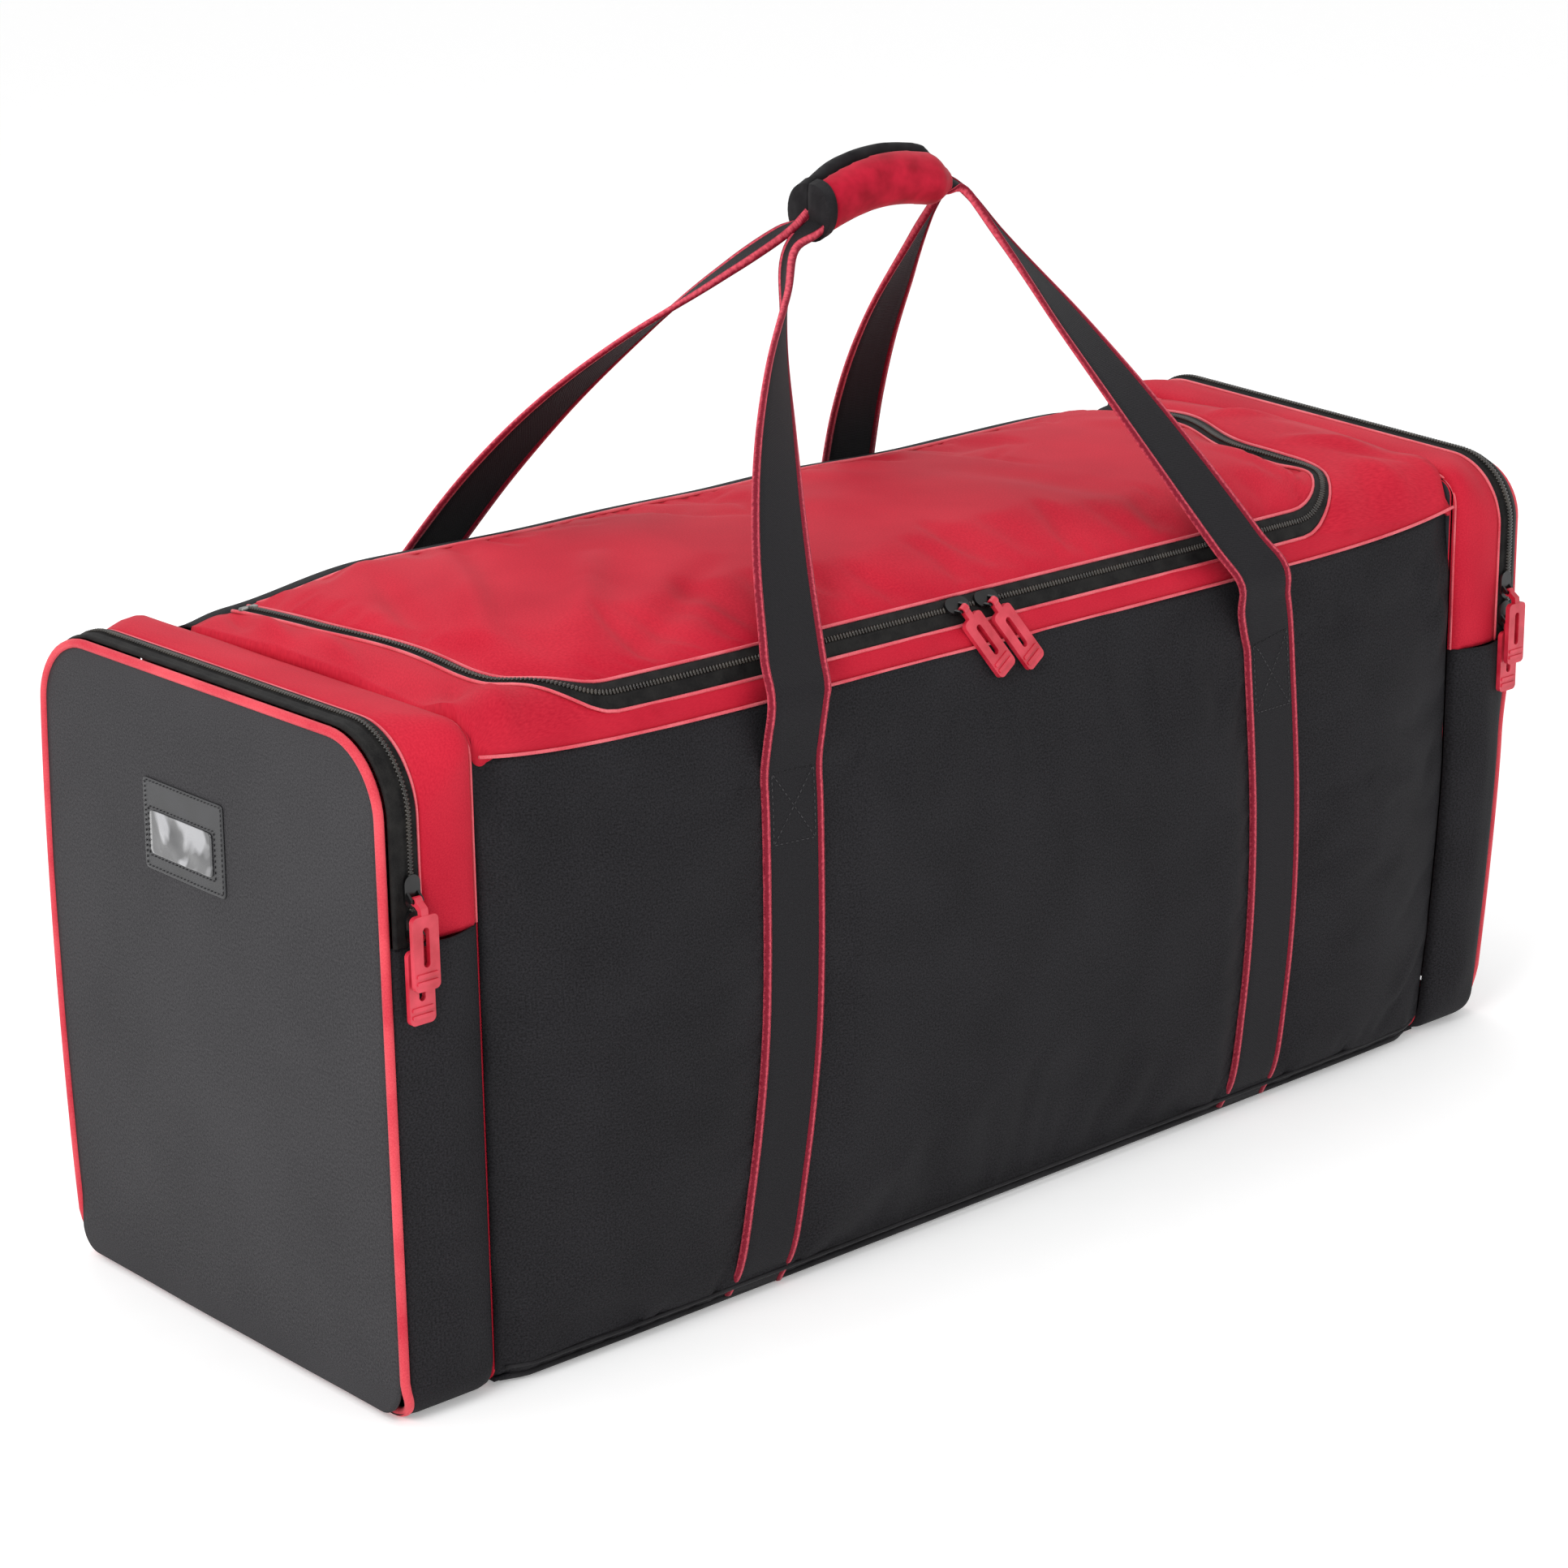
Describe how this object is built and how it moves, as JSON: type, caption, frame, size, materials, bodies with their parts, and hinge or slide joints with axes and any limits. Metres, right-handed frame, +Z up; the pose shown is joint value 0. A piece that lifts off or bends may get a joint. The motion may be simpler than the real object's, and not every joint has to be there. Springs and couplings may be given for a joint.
{
  "type": "hockey equipment bag",
  "caption": "Long zipped duffel for ice hockey kit, with a wide U-zip lid, an end pocket at each end and two carry handles joined by a wrapped grip.",
  "frame": {"origin": "on the floor, under the middle of the bag", "axes": "+X along the bag towards the pocket without the name holder, -Y towards the front with the zip pulls, +Z up"},
  "size_m": [1.022, 0.3834, 0.6781],
  "materials": {
    "black_polyester": "woven, coated, low sheen",
    "charcoal_polyester": "woven, coated, low sheen",
    "red_polyester": "woven, coated, soft sheen",
    "black_webbing": "ribbed polypropylene webbing",
    "red_edging": "woven tape, bright",
    "zip_tape": "twill tape with a nylon coil",
    "red_grip_cloth": "brushed padded cloth",
    "black_grip_cloth": "brushed padded cloth",
    "slider_metal": "black lacquer",
    "pull_rubber": "moulded, satin",
    "clear_vinyl": "clear, glossy, slightly wavy",
    "black_vinyl": "soft satin",
    "zip_stop_metal": "satin"
  },
  "bodies": {
    "bag_body": {"back_left_strap": "black_webbing", "back_panel": "black_polyester", "back_right_strap": "black_webbing", "back_strap_edging": "red_edging", "bottom_panel": "black_polyester", "front_left_strap": "black_webbing", "front_panel": "black_polyester", "front_right_strap": "black_webbing", "front_strap_edging": "red_edging", "front_yoke_strip": "red_polyester", "left_divider": "red_polyester", "left_end_panel": "charcoal_polyester", "left_end_piping": "red_edging", "left_pocket_black_gusset": "black_polyester", "left_pocket_red_gusset": "red_polyester", "left_pocket_zip_gusset_tape": "zip_tape", "left_yoke_strip": "red_polyester", "main_zip_end_stops": "zip_stop_metal", "main_zip_frame_tape": "zip_tape", "right_divider": "red_polyester", "right_end_panel": "charcoal_polyester", "right_end_piping": "red_edging", "right_pocket_black_gusset": "black_polyester", "right_pocket_red_gusset": "red_polyester", "right_pocket_zip_gusset_tape": "zip_tape", "right_yoke_strip": "red_polyester"},
    "lid": {"lid_panel": "red_polyester", "main_zip_lid_tape": "zip_tape"},
    "front_handle": {"front_grip_binding": "black_grip_cloth", "front_grip_pad": "red_grip_cloth", "front_handle_edging": "red_edging", "front_handle_strap": "black_webbing"},
    "back_handle": {"back_grip_binding": "black_grip_cloth", "back_grip_pad": "black_grip_cloth", "back_handle_edging": "red_edging", "back_handle_strap": "black_webbing"},
    "left_pocket_door": {"left_pocket_door_panel": "charcoal_polyester", "left_pocket_door_piping": "red_edging", "left_pocket_zip_door_tape": "zip_tape", "id_patch": "black_vinyl", "id_window": "clear_vinyl"},
    "main_left_slider": {"main_zip_left_slider": "slider_metal"},
    "main_left_pull": {"main_zip_left_pull": "pull_rubber"},
    "left_lower_slider": {"left_pocket_lower_slider": "slider_metal"},
    "left_lower_pull": {"left_pocket_lower_pull": "pull_rubber"},
    "left_upper_slider": {"left_pocket_upper_slider": "slider_metal"},
    "left_upper_pull": {"left_pocket_upper_pull": "pull_rubber"},
    "right_pocket_door": {"right_pocket_door_panel": "charcoal_polyester", "right_pocket_door_piping": "red_edging", "right_pocket_zip_door_tape": "zip_tape"},
    "main_right_slider": {"main_zip_right_slider": "slider_metal"},
    "main_right_pull": {"main_zip_right_pull": "pull_rubber"},
    "right_lower_slider": {"right_pocket_lower_slider": "slider_metal"},
    "right_lower_pull": {"right_pocket_lower_pull": "pull_rubber"},
    "right_upper_slider": {"right_pocket_upper_slider": "slider_metal"},
    "right_upper_pull": {"right_pocket_upper_pull": "pull_rubber"}
  },
  "joints": [
    {"name": "lid_opening", "type": "hinge", "parent": "bag_body", "child": "lid", "pos_m": [0, 0.12, 0.437], "axis": [-1, 0, 0], "range_deg": [0, 110]},
    {"name": "front_handle_fold", "type": "hinge", "parent": "bag_body", "child": "front_handle", "pos_m": [0, -0.191, 0.391], "axis": [1, 0, 0], "range_deg": [0, 200]},
    {"name": "back_handle_fold", "type": "hinge", "parent": "bag_body", "child": "back_handle", "pos_m": [0, 0.191, 0.391], "axis": [-1, 0, 0], "range_deg": [0, 200]},
    {"name": "left_pocket_opening", "type": "hinge", "parent": "bag_body", "child": "left_pocket_door", "pos_m": [-0.511, 0, 0.29], "axis": [0, -1, 0], "range_deg": [0, 110]},
    {"name": "right_pocket_opening", "type": "hinge", "parent": "bag_body", "child": "right_pocket_door", "pos_m": [0.511, 0, 0.29], "axis": [0, 1, 0], "range_deg": [0, 110]},
    {"name": "main_left_slider_run", "type": "slide", "parent": "lid", "child": "main_left_slider", "axis": [-1, 0, 0], "range_m": [0, 0.255]},
    {"name": "main_right_slider_run", "type": "slide", "parent": "lid", "child": "main_right_slider", "axis": [1, 0, 0], "range_m": [0, 0.285]},
    {"name": "main_left_pull_lift", "type": "hinge", "parent": "main_left_slider", "child": "main_left_pull", "pos_m": [-0.045, -0.1685, 0.4126], "axis": [-0.866, -0.1516, -0.4765], "range_deg": [0, 130]},
    {"name": "main_right_pull_lift", "type": "hinge", "parent": "main_right_slider", "child": "main_right_pull", "pos_m": [-0.019, -0.1685, 0.4126], "axis": [-0.866, -0.1516, -0.4765], "range_deg": [0, 130]},
    {"name": "left_upper_slider_run", "type": "slide", "parent": "bag_body", "child": "left_upper_slider", "axis": [0, 0, 1], "range_m": [0, 0.043]},
    {"name": "left_lower_slider_run", "type": "slide", "parent": "bag_body", "child": "left_lower_slider", "axis": [0, 0, 1], "range_m": [0, 0.043]},
    {"name": "left_lower_pull_lift", "type": "hinge", "parent": "left_lower_slider", "child": "left_lower_pull", "pos_m": [-0.4915, -0.1839, 0.306], "axis": [-1, 0, 0], "range_deg": [0, 130]},
    {"name": "left_upper_pull_lift", "type": "hinge", "parent": "left_upper_slider", "child": "left_upper_pull", "pos_m": [-0.4915, -0.1839, 0.328], "axis": [-1, 0, 0], "range_deg": [0, 130]},
    {"name": "right_upper_slider_run", "type": "slide", "parent": "bag_body", "child": "right_upper_slider", "axis": [0, 0, 1], "range_m": [0, 0.043]},
    {"name": "right_lower_slider_run", "type": "slide", "parent": "bag_body", "child": "right_lower_slider", "axis": [0, 0, 1], "range_m": [0, 0.043]},
    {"name": "right_lower_pull_lift", "type": "hinge", "parent": "right_lower_slider", "child": "right_lower_pull", "pos_m": [0.4915, -0.1839, 0.306], "axis": [-1, 0, 0], "range_deg": [0, 130]},
    {"name": "right_upper_pull_lift", "type": "hinge", "parent": "right_upper_slider", "child": "right_upper_pull", "pos_m": [0.4915, -0.1839, 0.328], "axis": [-1, 0, 0], "range_deg": [0, 130]}
  ],
  "couplings": [
    {"joint": "front_handle_fold", "follows": "lid_opening", "ratio": 1.8},
    {"joint": "back_handle_fold", "follows": "lid_opening", "ratio": 1.8},
    {"joint": "left_lower_slider_run", "follows": "left_upper_slider_run", "ratio": 1},
    {"joint": "left_upper_pull_lift", "follows": "left_lower_pull_lift", "ratio": 1},
    {"joint": "right_lower_slider_run", "follows": "right_upper_slider_run", "ratio": 1},
    {"joint": "right_upper_pull_lift", "follows": "right_lower_pull_lift", "ratio": 1}
  ]
}
